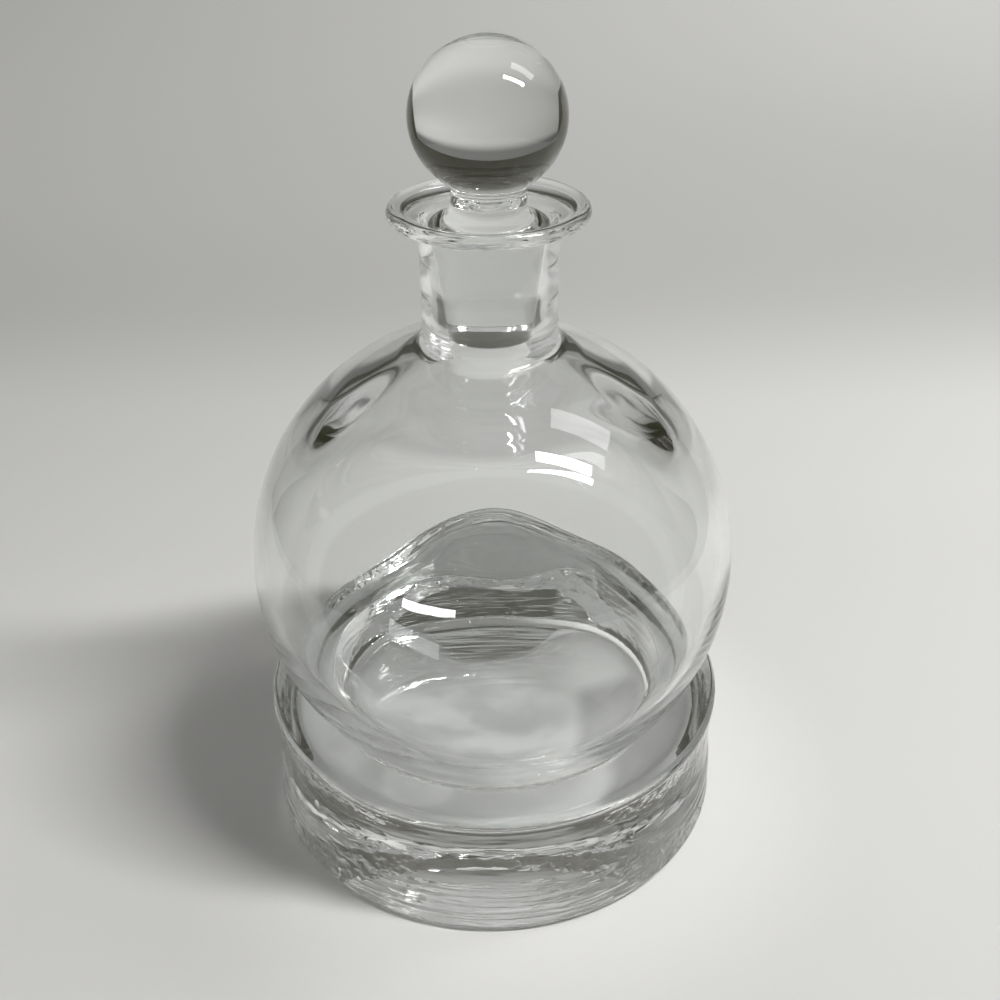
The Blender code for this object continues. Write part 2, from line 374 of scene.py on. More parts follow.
# Painted light and shade from the two ramps, with the cloud's random tone of the paper.
tone_with_painted_light = left + across * (right - left) + (cloud - 0.5) * CLOUD_CHANGE
print("paper tones:", len(PAPER_PAINTED_LIGHT_TONES), "rows")

# %% [markdown]
# A lump of clear glass gathers the light that falls on it and throws it on the paper: under the
# foot, where it makes soft swirls, and in a pale fan beside it. A path tracer finds such light
# slowly and with much noise, so the paper carries a part of it: a lighter tone under and beside
# the foot, and a gleam under it. One part under the foot's right stays dim.

# %% Light under the glass
FAN_REACH = (0.064, 0.12)
FAN_SIDE = (-0.06, 0.02)
FAN_SLANT = 0.8
FAN_CHANGE = 0.13
WELL_EDGE = (0.060, 0.066)
WELL_TONE = 0.97
DIM_CHANGE = 0.42
DIM_RIGHT = (0.030, 0.038)
DIM_BACK = (0.014, 0.026)
GLEAM_OFFSET = 0.012
GLEAM_REACH = (0.030, 0.056)
GLEAM_EVEN = 0.07
GLEAM_SWIRLS = 0.16
SWIRL_SCALE = 42.0
SWIRL_EDGE = (0.40, 0.62)
PAPER_WHITE = (1.0, 0.995, 0.975, 1.0)
BLACK = (0.0, 0.0, 0.0, 1.0)

radius = (x * x + y * y).root()
fan = (1.0 - radius.rise(*FAN_REACH)) * (x - y * FAN_SLANT).rise(*FAN_SIDE)
tone_with_painted_light = tone_with_painted_light + fan * FAN_CHANGE
well = 1.0 - radius.rise(*WELL_EDGE)
dim = x.rise(*DIM_RIGHT) * (1.0 - y.rise(*DIM_BACK))
tone_with_painted_light = tone_with_painted_light + well * (WELL_TONE - dim * DIM_CHANGE - tone_with_painted_light)
# Painted shade high on the curve, where the sheet lies out of the light.
tone_with_painted_light = tone_with_painted_light - z.rise(*HIGH_PAPER) * (tone_with_painted_light - HIGH_PAINTED_SHADE)
gleam_x = x + GLEAM_OFFSET
gleam_radius = (gleam_x * gleam_x + y * y).root()
swirls = shader.cloud(shader.point(), SWIRL_SCALE, 2.0).rise(*SWIRL_EDGE)
gleam = well * (1.0 - gleam_radius.rise(*GLEAM_REACH)) * (GLEAM_EVEN + GLEAM_SWIRLS * swirls)
shader.feed("Emission Color", gleam)
mixed = shader.node("ShaderNodeMix", {"data_type": "RGBA"}, {0: tone_with_painted_light, 6: BLACK, 7: PAPER_WHITE}, 2)
shader.feed("Base Color", mixed)
paper.data.materials.append(paper_material)
print("paper finish: done")

# %% [markdown]
# ## The room
# What lies beyond the paper matters to glass: its dark lines are dark parts of the room. Low down
# the room is dark, and higher up it brightens towards a pale ceiling. The world background can hold
# such bands by itself, because its colour may follow the height of the direction that a ray leaves
# in. Each row of the table gives degrees above the horizon and a colour.

# %% Room
ROOM_BANDS = [
    (-90.0, (0.10, 0.098, 0.086)),
    (-20.0, (0.085, 0.083, 0.070)),
    (1.0, (0.055, 0.053, 0.040)),
    (7.0, (0.030, 0.030, 0.018)),
    (21.0, (0.030, 0.030, 0.019)),
    (22.5, (0.060, 0.058, 0.045)),
    (36.0, (0.085, 0.082, 0.070)),
    (42.0, (0.24, 0.24, 0.228)),
    (60.0, (0.40, 0.40, 0.395)),
    (90.0, (0.60, 0.60, 0.60)),
]
world = bpy.data.worlds.new("room")
world.use_nodes = True
scene.world = world
shader = Shader(world.node_tree)
direction = shader.node("ShaderNodeTexCoord", output="Generated")
height = shader.node("ShaderNodeSeparateXYZ", values={0: direction}, output=2)
angle = shader.node("ShaderNodeMath", {"operation": "ARCSINE"}, {0: height})
share = angle / math.pi + 0.5
stops = [(degrees / 180.0 + 0.5, colour) for degrees, colour in ROOM_BANDS]
colour = shader.node("ShaderNodeValToRGB", {"stops": stops}, {0: share})
background = world.node_tree.nodes["Background"]
world.node_tree.links.new(colour.output, background.inputs["Color"])
background.inputs["Strength"].default_value = 1.0
print("room bands:", len(ROOM_BANDS))

# %% [markdown]
# ## The lamps
# Two long lamps hang side by side above and to the right. The near one is narrow and bright and
# makes the crisp white bars on ball and globe, the far one is wide and weak and adds a soft patch
# behind them. A long lamp gives a shadow that is soft along its length, and a highlight that shows
# how each surface bends.

# %% Lamps
LAMP_HEIGHT = 1.5
AIM = Vector((0.0, 0.0, 0.12))


def strip_lamp(name, start, end, width, watts):
    """A long lamp that hangs level between two places on the plan and shines on the decanter."""
    start = Vector((*start, LAMP_HEIGHT))
    end = Vector((*end, LAMP_HEIGHT))
    data = bpy.data.lights.new(name, "AREA")
    data.shape = "RECTANGLE"
    data.size = (end - start).length
    data.size_y = width
    data.energy = watts
    lamp = bpy.data.objects.new(name, data)
    scene.collection.objects.link(lamp)
    middle = (start + end) / 2.0
    shine = (AIM - middle).normalized()
    along = (end - start).normalized()
    along = (along - along.dot(shine) * shine).normalized()
    across = (-shine).cross(along)
    matrix = Matrix((along, across, -shine)).transposed().to_4x4()
    matrix.translation = middle
    lamp.matrix_world = matrix
    return lamp


near_lamp = strip_lamp("near_lamp", (0.485, -0.345), (1.20, -0.33), width=0.14, watts=23.0)
far_lamp = strip_lamp("far_lamp", (0.62, 0.215), (1.35, 0.29), width=0.32, watts=3.6)
print("lamps:", near_lamp.name, far_lamp.name)

# %% [markdown]
# ## Drawing an outline
# Everything here was turned about one axis, so each piece starts as an outline drawn out from that
# axis. An outline is made of parts of ellipses, of smooth curves between them, and of small rounded
# corners. The functions below return lists of points: distance from the axis, then height. Angles
# are in degrees, 0 outwards and 90 up.

# %% Outline helpers
UP = 90.0
DOWN = -90.0
EVEN_PULLS = (0.40, 0.40)


def arc(centre, radii, start_angle, end_angle, steps):
    """Points on part of an ellipse, both ends included."""
    points = []
    for step in range(steps + 1):
        angle = math.radians(start_angle + (end_angle - start_angle) * step / steps)
        points.append((centre[0] + radii[0] * math.cos(angle), centre[1] + radii[1] * math.sin(angle)))
    return points


def curve(start, start_angle, end, end_angle, pulls, steps):
    """Points on a smooth curve that leaves start and reaches end in the given directions."""
    span = math.dist(start, end)
    leave = math.radians(start_angle)
    reach = math.radians(end_angle)
    first = (start[0] + pulls[0] * span * math.cos(leave), start[1] + pulls[0] * span * math.sin(leave))
    second = (end[0] - pulls[1] * span * math.cos(reach), end[1] - pulls[1] * span * math.sin(reach))
    points = []
    for step in range(steps + 1):
        on = step / steps
        off = 1.0 - on
        weights = (off**3, 3.0 * off**2 * on, 3.0 * off * on**2, on**3)
        radius = sum(w * p[0] for w, p in zip(weights, (start, first, second, end)))
        height = sum(w * p[1] for w, p in zip(weights, (start, first, second, end)))
        points.append((radius, height))
    return points


def toward(start, end):
    """Direction from one outline point to another, one long."""
    length = math.dist(start, end)
    return ((end[0] - start[0]) / length, (end[1] - start[1]) / length)


def rounded_corner(before, corner, after, rounding, steps):
    """Points of the arc that rounds the corner between two straight runs."""
    back = toward(corner, before)
    on = toward(corner, after)
    half = math.acos(back[0] * on[0] + back[1] * on[1]) / 2.0
    setback = rounding / math.tan(half)
    middle = toward((0.0, 0.0), (back[0] + on[0], back[1] + on[1]))
    reach = rounding / math.sin(half)
    centre = (corner[0] + reach * middle[0], corner[1] + reach * middle[1])
    first = (corner[0] + setback * back[0], corner[1] + setback * back[1])
    last = (corner[0] + setback * on[0], corner[1] + setback * on[1])
    start_angle = math.degrees(math.atan2(first[1] - centre[1], first[0] - centre[0]))
    end_angle = math.degrees(math.atan2(last[1] - centre[1], last[0] - centre[0]))
    turn = (end_angle - start_angle + 180.0) % 360.0 - 180.0
    return arc(centre, (rounding, rounding), start_angle, start_angle + turn, steps)


def straight(start, end, steps):
    """Evenly spaced points on a straight run, both ends included."""
    points = []
    for step in range(steps + 1):
        on = step / steps
        points.append((start[0] + on * (end[0] - start[0]), start[1] + on * (end[1] - start[1])))
    return points


print("outline helpers ready")

# %% [markdown]
# ## The sizes
# The sizes are those of the measured model, in metres, so that the glass fills the same box. Only
# the inner edge between shoulder and bore is rounder than there. Heights are stacked: the shoulder
# stands on the globe, the lip on the shoulder, and the stopper hangs from the lip.

# %% Sizes
GLOBE_RADIUS = 0.068
GLOBE_CENTRE = 0.0831
WALL = 0.0033
SHOULDER_WALL = 0.0073
FLOOR = 0.0204
FOOT_RADIUS = 0.0679
FOOT_WAIST = 0.0668
FOOT_WAIST_HEIGHT = 0.030
FOOT_EDGE = 0.0025
RIM_RADIUS = 0.0674
RIM_ROUNDING = 0.0014
LEDGE = 0.0380
LEDGE_RISE = 0.0007
JUNCTION = 0.0010
NECK_RADIUS = 0.0177
NECK_LENGTH = 0.03505
FLARE_LENGTH = 0.0036
NECK_FILLET = 0.0040
SHOULDER_ROUNDING = 0.0055
LIP_RADIUS = 0.0255
LIP_ROUNDING = 0.0019

PLUG_TOP_RADIUS = 0.0152
PLUG_END_RADIUS = 0.0116
PLUG_LENGTH = 0.0286
PLUG_SEAT = 0.0036
PLUG_CLEARANCE = 0.0003
PLUG_END_ROUNDING = 0.0018
PLUG_TOP_ROUNDING = 0.0010
PLUG_SHOULDER = 0.0018
COLLAR_RADIUS = 0.0113
COLLAR_LENGTH = 0.00405
STEM_RADIUS = 0.0096
STEM_LENGTH = 0.0006
BALL_RADIUS = 0.01935
BALL_HALF_HEIGHT = 0.0186
BALL_FOOT_RISE = 0.00425
BALL_FOOT_ANGLE = -57.5

SHOULDER = GLOBE_CENTRE + math.sqrt(GLOBE_RADIUS**2 - NECK_RADIUS**2)
LIP = SHOULDER + NECK_LENGTH
PLUG_TOP = LIP - PLUG_SEAT
PLUG_END = PLUG_TOP - PLUG_LENGTH
COLLAR_FOOT = PLUG_TOP + PLUG_SHOULDER
STEM_FOOT = COLLAR_FOOT + COLLAR_LENGTH
STEM_TOP = STEM_FOOT + STEM_LENGTH
BALL_CENTRE = STEM_TOP + BALL_FOOT_RISE - BALL_HALF_HEIGHT * math.sin(math.radians(BALL_FOOT_ANGLE))
PLUG_TAPER = math.atan((PLUG_TOP_RADIUS - PLUG_END_RADIUS) / PLUG_LENGTH)
print("lip at", round(LIP, 4), "m, ball centre at", round(BALL_CENTRE, 4), "m")

# %% [markdown]
# ## Inside and mouth of the blown body
# The outline runs up the inside first: the bowl-shaped floor of the cavity, its wall, a rounded edge
# and the bore that fits the plug. The wall is an ellipse, so it gets thicker towards the neck. The
# mouth flares out to a rounded lip, and a short curve leads back under it to the neck.

# %% Cavity and lip
LIP_INNER_ANGLE = 140.0
LIP_OUTER_ANGLE = -62.0
MOUTH_ANGLE = 50.0


def bore_radius(height):
    """Radius of the bore, which follows the plug at its clearance."""
    taper = math.tan(PLUG_TAPER)
    return PLUG_END_RADIUS + (height - PLUG_END) * taper + PLUG_CLEARANCE / math.cos(PLUG_TAPER)


def cavity_outline():
    """Floor and wall of the cavity, and the bore up to the top of the plug."""
    radius = GLOBE_RADIUS - WALL
    rise = GLOBE_RADIUS - SHOULDER_WALL
    foot = PLUG_END
    for _ in range(6):
        foot = GLOBE_CENTRE + rise * math.sqrt(1.0 - (bore_radius(foot) / radius) ** 2)
    last = math.degrees(math.acos((bore_radius(foot) + 2.0 * SHOULDER_ROUNDING) / radius))
    lower = arc((0.0, GLOBE_CENTRE), (radius, GLOBE_CENTRE - FLOOR), DOWN, 0.0, steps=40)
    upper = arc((0.0, GLOBE_CENTRE), (radius, rise), 0.0, last, steps=44)
    bore_top = (bore_radius(PLUG_TOP), PLUG_TOP)
    edge = (bore_radius(foot), foot)
    corner = rounded_corner(upper[-1], edge, bore_top, SHOULDER_ROUNDING, steps=10)
    return lower + upper[1:] + corner + straight(corner[-1], bore_top, steps=6)[1:]


def lip_outline():
    """Mouth, rounded lip and the flare under it, down to the neck's straight side."""
    centre = (LIP_RADIUS - LIP_ROUNDING, LIP)
    roll = arc(centre, (LIP_ROUNDING, LIP_ROUNDING), LIP_INNER_ANGLE, LIP_OUTER_ANGLE, steps=20)
    bore_top = (bore_radius(PLUG_TOP), PLUG_TOP)
    bore_angle = UP - math.degrees(PLUG_TAPER)
    mouth = curve(bore_top, bore_angle, roll[0], MOUTH_ANGLE, (0.45, 0.35), steps=14)
    neck_top = (NECK_RADIUS, LIP - FLARE_LENGTH)
    under = curve(roll[-1], LIP_OUTER_ANGLE + DOWN, neck_top, DOWN, (0.30, 0.35), steps=12)
    return mouth[1:-1] + roll + under[1:]


inner_part = cavity_outline() + lip_outline()
print("inside and lip:", len(inner_part), "points")

# %% [markdown]
# ## Outside of the blown body
# Then the outline runs down the outside: the neck, the globe, the ledge with its raised rim, the
# side of the foot and its flat underside. The side of the foot gets many close points, because its
# fine folds come next.

# %% Globe and foot
FOOT_SIDE_STEPS = 88
RIM_INNER_ANGLE = 120.0
DISH_ANGLE = 30.0
JUNCTION_ANGLE = -125.0


def globe_outline():
    """Neck, its rounded corner against the globe, and the globe down to the ledge."""
    corner = (NECK_RADIUS, SHOULDER)
    outward = NECK_RADIUS + NECK_FILLET
    after = (outward, GLOBE_CENTRE + math.sqrt(GLOBE_RADIUS**2 - outward**2))
    above = (NECK_RADIUS, LIP - FLARE_LENGTH)
    bend = rounded_corner(above, corner, after, NECK_FILLET, steps=9)
    start = math.degrees(math.asin((after[1] - GLOBE_CENTRE) / GLOBE_RADIUS))
    end = math.degrees(math.asin((LEDGE + JUNCTION - GLOBE_CENTRE) / GLOBE_RADIUS))
    side = arc((0.0, GLOBE_CENTRE), (GLOBE_RADIUS, GLOBE_RADIUS), start, 0.0, steps=40)
    under = arc((0.0, GLOBE_CENTRE), (GLOBE_RADIUS, GLOBE_RADIUS), 0.0, end, steps=22)
    return straight(above, bend[0], steps=6)[1:] + bend[1:] + side + under[1:]


def ledge_outline(globe_end):
    """From the globe over the slightly dished ledge to the outside of its raised rim."""
    rim_centre = (RIM_RADIUS - RIM_ROUNDING, LEDGE)
    rim = arc(rim_centre, (RIM_ROUNDING, RIM_ROUNDING), RIM_INNER_ANGLE, 0.0, steps=9)
    ledge_start = (globe_end[0] + JUNCTION, LEDGE)
    bend = curve(globe_end, JUNCTION_ANGLE, ledge_start, 0.0, (0.45, 0.45), steps=6)
    dish_end = (rim[0][0] - RIM_ROUNDING, LEDGE + LEDGE_RISE)
    dish = curve(ledge_start, 0.0, dish_end, DISH_ANGLE, EVEN_PULLS, steps=12)
    return bend[1:] + dish[1:] + rim


def foot_outline(rim_end):
    """Side of the foot, its rounded edge and the underside up to the axis."""
    share = (rim_end[1] - FOOT_WAIST_HEIGHT) / (rim_end[1] - FOOT_EDGE)
    upper_steps = round(FOOT_SIDE_STEPS * share)
    waist = (FOOT_WAIST, FOOT_WAIST_HEIGHT)
    upper = curve(rim_end, DOWN, waist, DOWN, EVEN_PULLS, upper_steps)
    edge_start = (FOOT_RADIUS, FOOT_EDGE)
    lower = curve(waist, DOWN, edge_start, DOWN, EVEN_PULLS, FOOT_SIDE_STEPS - upper_steps)
    edge = arc((FOOT_RADIUS - FOOT_EDGE, FOOT_EDGE), (FOOT_EDGE, FOOT_EDGE), 0.0, DOWN, steps=7)
    return upper[1:] + lower[1:-1] + edge + straight(edge[-1], (0.0, 0.0), steps=4)[1:]


globe_part = globe_outline()
ledge_part = ledge_outline(globe_part[-1])
body_outline = inner_part + globe_part + ledge_part + foot_outline(ledge_part[-1])
print("body outline:", len(body_outline), "points")

# %% [markdown]
# ## Turning an outline into glass
# A plane's vertices are merged into one, which is moved to the outline's first point and extruded
# from point to point. Spin then carries the outline once round the axis. Its last copy lands on the
# first, so doubles are merged, which also closes the two ends on the axis, and the normals are made
# to point outwards.

# %% Turn an outline
MERGE_DISTANCE = 0.00002
BODY_STEPS = 284


def turned_glass(name, outline, steps):
    """Extrude an outline from point to point and spin it once round the upright axis."""
    piece = new_primitive(bpy.ops.mesh.primitive_plane_add, name, size=0.01)
    bpy.ops.mesh.select_all(action="SELECT")
    bpy.ops.mesh.merge(type="CENTER")
    bpy.ops.mesh.select_mode(type="VERT")
    bpy.ops.mesh.select_all(action="SELECT")
    radius, height = outline[0]
    bpy.ops.transform.translate(value=(radius, 0.0, height))
    for before, after in zip(outline, outline[1:]):
        step = (after[0] - before[0], 0.0, after[1] - before[1])
        bpy.ops.mesh.extrude_region_move(TRANSFORM_OT_translate={"value": step})
    bpy.ops.mesh.select_all(action="SELECT")
    bpy.ops.mesh.spin(steps=steps, angle=2.0 * math.pi, center=(0.0, 0.0, 0.0), axis=(0.0, 0.0, 1.0))
    bpy.ops.mesh.select_all(action="SELECT")
    bpy.ops.mesh.remove_doubles(threshold=MERGE_DISTANCE)
    bpy.ops.mesh.normals_make_consistent(inside=False)
    bpy.ops.object.mode_set(mode="OBJECT")
    return piece


body = turned_glass("blown_body", body_outline, BODY_STEPS)
print("blown body:", len(body.data.polygons), "faces")

# %% [markdown]
# ## The uneven wall
# Blown glass is never even. The table tells how much thicker the globe's wall is than drawn, or how
# much thinner where the number is below zero, in millimetres. It has a row for every 8 degrees of
# height and a column for every 12 degrees round the front, from left to right. An uneven wall is a
# weak prism, and this one bends the far rim of the foot up into a bell-shaped hump.
#
# Between the entries the change is smooth, because each entry spreads as a soft hump over its
# neighbours. At the left and right of the shoulder the wall gets thicker towards the neck, and
# mirrors the dark part of the room there: those are the dark streaks on the shoulders.

# %% Uneven wall
WALL_CHANGES = [
    (0.03, 0.16, 0.25, 0.17, 0.06, -0.03, -0.08, -0.09, -0.06, -0.01, 0.03, 0.02, 0.00),
    (0.05, 0.32, 0.35, 0.00, -0.18, -0.15, -0.01, 0.11, 0.13, 0.01, -0.07, -0.03, -0.01),
    (0.04, 0.11, -0.15, -0.28, -0.34, -0.12, 0.17, 0.40, 0.46, 0.07, -0.23, -0.09, -0.02),
    (0.02, 0.07, 0.03, -0.04, -0.02, 0.20, 0.39, 0.52, 0.55, 0.16, -0.28, -0.16, -0.03),
    (-0.00, -0.05, -0.20, -0.24, 0.31, 0.64, 0.68, 0.67, 0.50, -0.10, -0.38, -0.27, -0.05),
    (-0.03, -0.22, -0.36, -0.43, -0.19, 0.77, 1.09, 0.82, 0.07, -0.53, -0.68, -0.37, -0.06),
    (-0.07, -0.50, -0.92, -0.68, -0.12, 0.60, 0.71, 0.54, -0.34, -1.12, -1.28, -0.55, -0.08),
    (-0.09, -0.67, -1.23, -1.06, -0.67, 0.39, 1.14, 0.57, -1.65, -2.11, -1.80, -0.70, -0.09),
    (-0.09, -0.71, -1.45, -1.65, -1.86, -1.67, -0.69, -1.50, -2.43, -2.61, -2.16, -0.81, -0.10),
    (-0.08, -0.72, -1.63, -2.17, -2.85, -3.43, -3.73, -3.39, -2.82, -2.80, -2.36, -0.88, -0.10),
    (-0.07, -0.70, -1.66, -2.19, -2.66, -2.89, -2.97, -2.90, -2.88, -2.90, -2.38, -0.86, -0.10),
    (-0.06, -0.62, -1.46, -1.85, -2.15, -2.33, -2.48, -2.65, -2.80, -2.75, -2.16, -0.77, -0.09),
    (-0.05, -0.49, -1.12, -1.39, -1.60, -1.79, -1.97, -2.15, -2.26, -2.23, -1.76, -0.64, -0.08),
]
FIRST_LATITUDE = -24.0
LATITUDE_STEP = 8.0
FIRST_HEADING = -162.0
HEADING_STEP = 12.0
FRONT = -90.0
TABLE_FADE = (50.0, 68.0)
MILLIMETRE = 0.001

LIFT_START = 35.0
LIFT_RANGE = 13.0
LIFT_RATE = 0.070
LIFT_FADE = (56.0, 76.0)
RIGHT_LIFT = (-30.0, -6.0, 35.0, 60.0)
LEFT_LIFT = (120.0, 145.0, 186.0, 210.0)


def ramp_up(value, low, high):
    """Smooth step from 0 at low to 1 at high."""
    share = min(1.0, max(0.0, (value - low) / (high - low)))
    return share * share * (3.0 - 2.0 * share)


def hump(distance):
    """Smooth weight of a table entry that lies this many steps away, zero from two steps on."""
    distance = abs(distance)
    if distance < 1.0:
        return (4.0 - 6.0 * distance**2 + 3.0 * distance**3) / 6.0
    return max(0.0, 2.0 - distance) ** 3 / 6.0


def between(heading, edges):
    """1 between the second and third heading, with smooth ends to the first and the fourth."""
    return ramp_up(heading, edges[0], edges[1]) * (1.0 - ramp_up(heading, edges[2], edges[3]))


def shoulder_lift(latitude, heading):
    """Thickening towards the neck at the globe's left and right, in millimetres."""
    rise = LIFT_RATE * min(max(latitude - LIFT_START, 0.0), LIFT_RANGE)
    sides = between(heading, RIGHT_LIFT) + between(heading % 360.0, LEFT_LIFT)
    return rise * (1.0 - ramp_up(latitude, *LIFT_FADE)) * sides


def wall_change(latitude, heading):
    """How much thicker the globe's wall is here than drawn, in metres."""
    up = (latitude - FIRST_LATITUDE) / LATITUDE_STEP
    along = (heading - FIRST_HEADING) / HEADING_STEP
    total = 0.0
    for row, changes in enumerate(WALL_CHANGES):
        weight = hump(up - row)
        if weight > 0.0:
            total += weight * sum(hump(along - column) * change for column, change in enumerate(changes))
    total *= 1.0 - ramp_up(latitude, *TABLE_FADE)
    return MILLIMETRE * (total + shoulder_lift(latitude, heading))


print("front of the shoulder:", round(wall_change(48.0, FRONT) / MILLIMETRE, 2), "mm off the drawn wall")

# %% [markdown]
# ## The folded foot
# The side of the foot was pressed in a rough mould. It is crumpled close under the rim, has long
# level folds further down, and swells a little all over. Three sizes of noise give the amounts.
# They are read at a place on the circle that is stretched less round the circle than in height, so
# that a fold is long one way and short the other. All moves go inwards, so the foot keeps its width.

# %% Folded foot
CRUMPLE_DEPTH = 0.00003
FOLD_DEPTH = 0.00003
SWELL_DEPTH = 0.00012
DEEPEST = 0.00025
FOOT_FADE = (0.0012, 0.0045)
RIM_FADE = 0.0012
CRUMPLE_START = (0.014, 0.026)
CRUMPLE_SCALE = (260.0, 620.0)
FOLD_SCALE = (48.0, 720.0)
SWELL_SCALE = (60.0, 110.0)


def stretched(around, height, scale, shift):
    """Place on the foot's side, scaled round the circle and in height, for reading noise."""
    return Vector((around.x * scale[0], around.y * scale[0], height * scale[1] + shift))


def fold_amounts(heading, height):
    """Crumple, folds and swell at a place on the foot's side, each about -1 to 1."""
    turn = math.radians(heading)
    around = Vector((math.cos(turn), math.sin(turn), 0.0)) * FOOT_RADIUS
    crumple = noise.fractal(stretched(around, height, CRUMPLE_SCALE, 0.0), 0.9, 2.1, 4)
    folds = noise.fractal(stretched(around, height, FOLD_SCALE, 7.0), 0.8, 2.2, 3)
    swell = noise.noise(stretched(around, height, SWELL_SCALE, 3.0))
    return crumple, folds, swell


def press_foot(vertex, heading):
    """Move a vertex of the foot's side inwards by its folds."""
    height = vertex.co.z
    side = ramp_up(height, *FOOT_FADE) * (1.0 - ramp_up(height, LEDGE - RIM_FADE, LEDGE))
    crumple, folds, swell = fold_amounts(heading, height)
    high = ramp_up(height, *CRUMPLE_START)
    depth = CRUMPLE_DEPTH * crumple * (0.35 + 0.65 * high) + FOLD_DEPTH * folds * (1.2 - 0.7 * high)
    depth += SWELL_DEPTH * swell
    move = side * (max(-DEEPEST, min(DEEPEST, depth)) + DEEPEST)
    radius = math.hypot(vertex.co.x, vertex.co.y)
    vertex.co.x *= 1.0 - move / radius
    vertex.co.y *= 1.0 - move / radius


print("deepest fold:", round(2.0 * DEEPEST / MILLIMETRE, 2), "mm")

# %% [markdown]
# Now every vertex of the turned body is looked at. If it lies on the cavity's ellipse and below the
# neck, it moves along the line from the globe's centre by the change of the wall. If it lies on the
# side of the foot, it is pressed in.

# %% Shape the body by hand
AXIS_MARGIN = 0.0005
SHELL_MARGIN = 1.01
NECK_MARGIN = 0.006
SIDE_MARGIN = 0.0006
SHARP_ANGLE = math.radians(60.0)


def shape_by_hand(piece):
    """Give the turned body its uneven wall and its folded foot."""
    inner_radius = GLOBE_RADIUS - WALL
    centre = Vector((0.0, 0.0, GLOBE_CENTRE))
    for vertex in piece.data.vertices:
        out = vertex.co - centre
        radius = math.hypot(vertex.co.x, vertex.co.y)
        if radius < AXIS_MARGIN:
            continue
        heading = math.degrees(math.atan2(vertex.co.y, vertex.co.x))
        depth = GLOBE_CENTRE - FLOOR if out.z < 0 else GLOBE_RADIUS - SHOULDER_WALL
        inside = (radius / inner_radius) ** 2 + (out.z / depth) ** 2 < SHELL_MARGIN
        if inside and vertex.co.z < SHOULDER - NECK_MARGIN:
            latitude = math.degrees(math.atan2(out.z, radius))
            vertex.co -= out.normalized() * wall_change(latitude, heading)
        elif radius > FOOT_WAIST - SIDE_MARGIN and vertex.co.z < LEDGE:
            press_foot(vertex, heading)
    piece.data.update()


shape_by_hand(body)
body.data.shade_smooth()
body.data.set_sharp_from_angle(angle=SHARP_ANGLE)
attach(body, "body")
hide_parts("decanter_body")
print("body shaped:", [round(v, 4) for v in body.dimensions])

# %% [markdown]
# ## The stopper
# The stopper is solid: a ball, a short stem, a domed shoulder and the ground plug. A solid ball is a
# strong lens and turns the room upside down. The real ball is a little flattened from top to bottom.

# %% Stopper
STOPPER_STEPS = 256
COLLAR_ANGLE = -75.0
SHOULDER_ANGLE = -15.0


def stopper_outline():
    """From the top of the ball down to the middle of the plug's end."""
    ball = arc((0.0, BALL_CENTRE), (BALL_RADIUS, BALL_HALF_HEIGHT), UP, BALL_FOOT_ANGLE, steps=84)
    stem_top = (STEM_RADIUS, STEM_TOP)
    stem_foot = (STEM_RADIUS, STEM_FOOT)
    into_stem = curve(ball[-1], BALL_FOOT_ANGLE + DOWN, stem_top, DOWN, EVEN_PULLS, steps=8)
    stem = straight(stem_top, stem_foot, steps=1)
    plug_top = (PLUG_TOP_RADIUS, PLUG_TOP)
    collar = (COLLAR_RADIUS, COLLAR_FOOT)
    down = curve(stem_foot, DOWN, collar, COLLAR_ANGLE, EVEN_PULLS, steps=8)
    ledge_end = (PLUG_TOP_RADIUS - PLUG_TOP_ROUNDING, PLUG_TOP + PLUG_TOP_ROUNDING)
    ledge = curve(collar, COLLAR_ANGLE, ledge_end, SHOULDER_ANGLE, (0.35, 0.35), steps=10)
    side_angle = DOWN - math.degrees(PLUG_TAPER)
    shoulder = curve(ledge_end, SHOULDER_ANGLE, plug_top, side_angle, EVEN_PULLS, steps=6)
    corner = (PLUG_END_RADIUS, PLUG_END)
    end = rounded_corner(plug_top, corner, (0.0, PLUG_END), PLUG_END_ROUNDING, steps=8)
    side = straight(plug_top, end[0], steps=16)
    base = straight(end[-1], (0.0, PLUG_END), steps=6)
    runs = (into_stem, stem, down, ledge, shoulder, side, end, base)
    return ball + [point for run in runs for point in run[1:]]


stopper = turned_glass("ball_stopper", stopper_outline(), STOPPER_STEPS)
stopper.data.shade_smooth()
stopper.data.set_sharp_from_angle(angle=SHARP_ANGLE)
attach(stopper, "stopper")
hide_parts("stopper")
print("stopper:", len(stopper.data.polygons), "faces")

# %% [markdown]
# ## The pressed relief of the foot
# The mould left a finer relief than the mesh can carry, so it is a height for a Bump node, here in
# millimetres. A jagged step bows across the front of the foot: `level` is the height on the foot,
# made uneven by noise, and the relief climbs with it over the step's width. Two shallower slopes
# lie under the rim at the left and right, and fine level lines cover the foot, deeper low down.
#
# Slopes like these turn the glass towards the dark part of the room, which makes the dark band. The
# relief ends by a mask on the bump's strength, because a height that is cut off would leave a step.

# %% Foot relief
STEP_TOP = 28.0
STEP_BOW = 0.0059
STEP_WIDTH = 3.5
STEP_WIDENING = 0.0055
STEP_WIDER_RIGHT = 0.05
STEP_SLOPE = 0.46
RIM_SLOPE_START = 37.0
RIM_SLOPE_BOW = 0.0042
RIM_SLOPE = 0.20
RIM_SLOPE_SIDES = (18.0, 30.0)
JAG_HEIGHT = 5.0
CRUMB_HEIGHT = 1.1
LINE_HEIGHT = 0.04
LOW_LINE_HEIGHT = 0.50
LOW_LINES_END = (0.013, 0.020)
BACK_CUT = 0.70
BACK_START = (-0.012, 0.012)
SIDE_START = (FOOT_WAIST - 0.0016, FOOT_WAIST - 0.0008)
SIDE_END = (LEDGE - 0.0012, LEDGE - 0.0004)


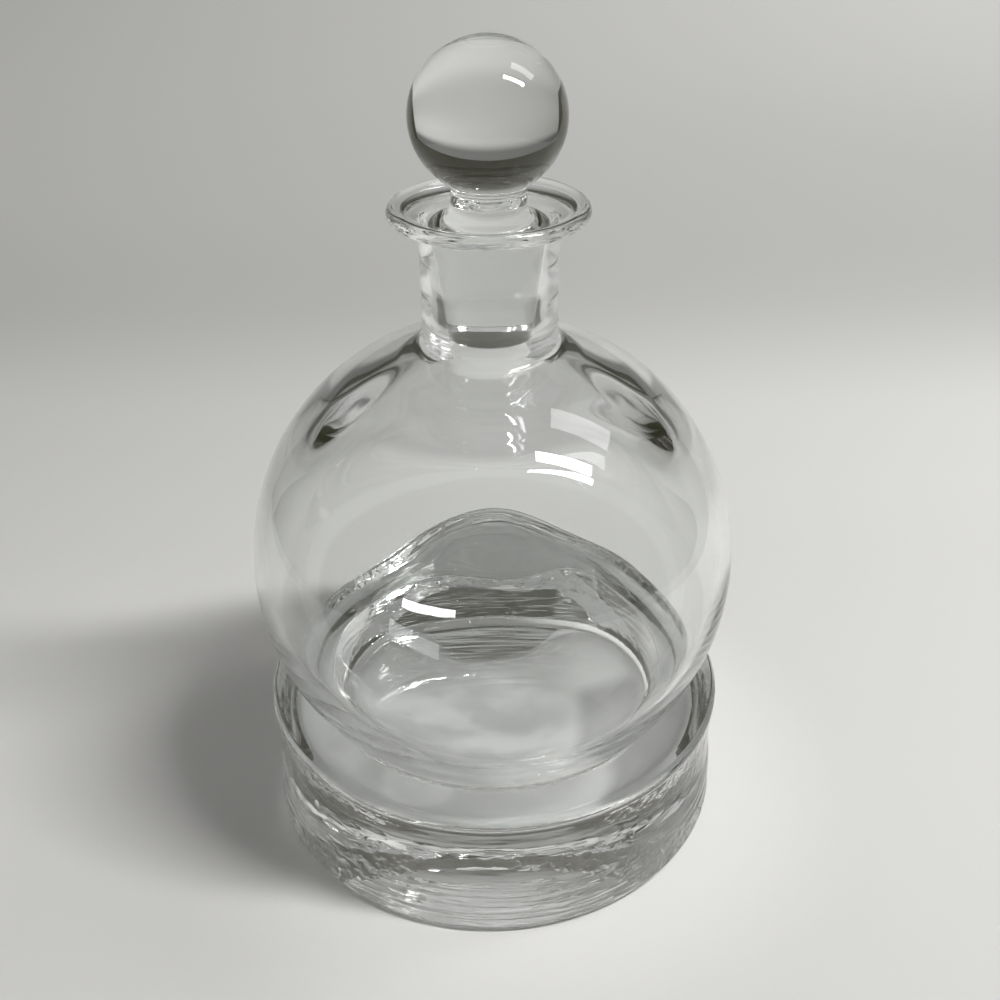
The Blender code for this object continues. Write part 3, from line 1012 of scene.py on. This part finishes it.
def foot_relief(shader):
    """Height of the pressed relief on the foot's side, in metres, and the mask that bounds it."""
    x, y, z = shader.place()
    across = x / MILLIMETRE
    bow = across * across
    jag = shader.cloud(shader.vector(x * 190.0, y * 190.0, z * 150.0), 1.0, 2.0)
    crumb = shader.cloud(shader.vector(x * 520.0, y * 520.0, z * 800.0), 1.0, 2.0)
    lines = shader.cloud(shader.vector(x * 35.0, y * 35.0, z * 560.0), 1.0, 1.5)
    level = z / MILLIMETRE + (jag - 0.5) * JAG_HEIGHT + (crumb - 0.5) * CRUMB_HEIGHT
    width = STEP_WIDTH + bow * STEP_WIDENING + across.above(0.0) * STEP_WIDER_RIGHT
    climb = ((level - (STEP_TOP - bow * STEP_BOW) + width) / width).above(0.0).below(1.0)
    step = (climb * 0.8 + climb * climb * 0.2) * width * STEP_SLOPE
    sides = across.unsigned().rise(*RIM_SLOPE_SIDES)
    under = (level - (RIM_SLOPE_START - bow * RIM_SLOPE_BOW)).above(0.0) * RIM_SLOPE * sides
    low = 1.0 - z.rise(*LOW_LINES_END)
    relief = step + under + lines * (LINE_HEIGHT + LOW_LINE_HEIGHT * low)
    side = (x * x + y * y).root().rise(*SIDE_START) * (1.0 - z.rise(*SIDE_END))
    return relief * MILLIMETRE, side * (1.0 - BACK_CUT * y.rise(*BACK_START))


print("relief step:", STEP_WIDTH, "mm wide in front")

# %% [markdown]
# ## Clear glass
# Glass is a Principled shader with full transmission and an index of refraction of 1.5. Its colour
# is almost white, with a trace of green and grey. Polished glass still ripples by less than a
# hair's breadth, which shows as soft bends in what is seen through it: that is a first Bump node.
# The foot's relief is a second one, which takes the first one's normal and adds to it.

# %% Glass finish
GLASS_IOR = 1.5
RIPPLE_SCALE = 38.0


def clear_glass(name, tint, ripple, pressed):
    """Clear glass with a faint ripple, and the foot's relief where pressed is true."""
    values = {"Base Color": (*tint, 1.0), "Roughness": 0.0, "IOR": GLASS_IOR, "Transmission Weight": 1.0}
    material, shader = new_material(name, values)
    soft = shader.cloud(shader.point(), RIPPLE_SCALE, 1.0)
    values = {"Height": soft * ripple, "Distance": 1.0, "Strength": 1.0}
    bump = shader.node("ShaderNodeBump", values=values)
    if pressed:
        relief, mask = foot_relief(shader)
        values = {"Height": relief, "Distance": 1.0, "Strength": mask, "Normal": bump}
        bump = shader.node("ShaderNodeBump", values=values)
    shader.feed("Normal", bump)
    return material


body_glass = clear_glass("clear body glass look", (0.985, 0.995, 0.99), ripple=0.00002, pressed=True)
stopper_glass = clear_glass("clear stopper glass look", (0.98, 0.988, 0.975), ripple=0.00001, pressed=False)
body.data.materials.append(body_glass)
stopper.data.materials.append(stopper_glass)
print("glass:", body_glass.name, stopper_glass.name)
